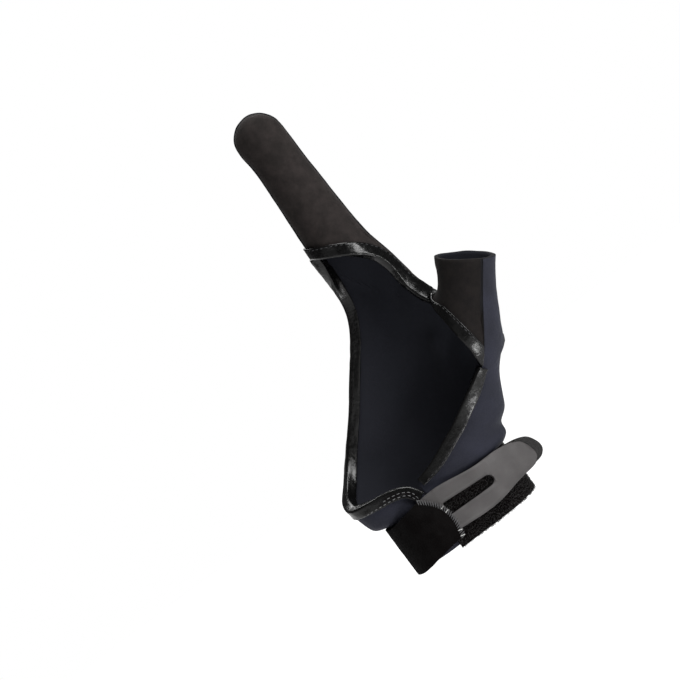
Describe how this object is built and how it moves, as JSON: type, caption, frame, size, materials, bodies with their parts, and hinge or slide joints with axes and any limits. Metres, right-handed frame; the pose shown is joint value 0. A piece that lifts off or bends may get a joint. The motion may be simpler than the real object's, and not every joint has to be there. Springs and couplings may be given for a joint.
{
  "type": "casting glove",
  "caption": "Right-hand fishing glove: neoprene back and cuff, closed index finger stall, open thumb sleeve, suede fronts, bound edges, hook-and-loop wrist strap with slotted pull tab",
  "frame": {"origin": "centre of the wrist opening, where the wearer's wrist leaves the cuff", "axes": "+Z runs from the wrist to the fingertip, +X to the thumb side, and the palm faces -Y"},
  "size_m": [0.1194, 0.0587, 0.2059],
  "materials": {
    "neoprene": "matte",
    "suede": "matte",
    "binding": "satin",
    "velour": "matte",
    "hook": "matte",
    "rubber": "satin"
  },
  "bodies": {
    "root": {"back_panel": "neoprene", "index_front_panel": "suede", "thumb_front_panel": "suede", "finger_binding": "binding", "web_binding": "binding", "heel_binding": "binding", "thenar_binding": "binding", "wrist_strap": "velour", "hook_pad": "hook", "pull_tab": "rubber"}
  },
  "joints": []
}
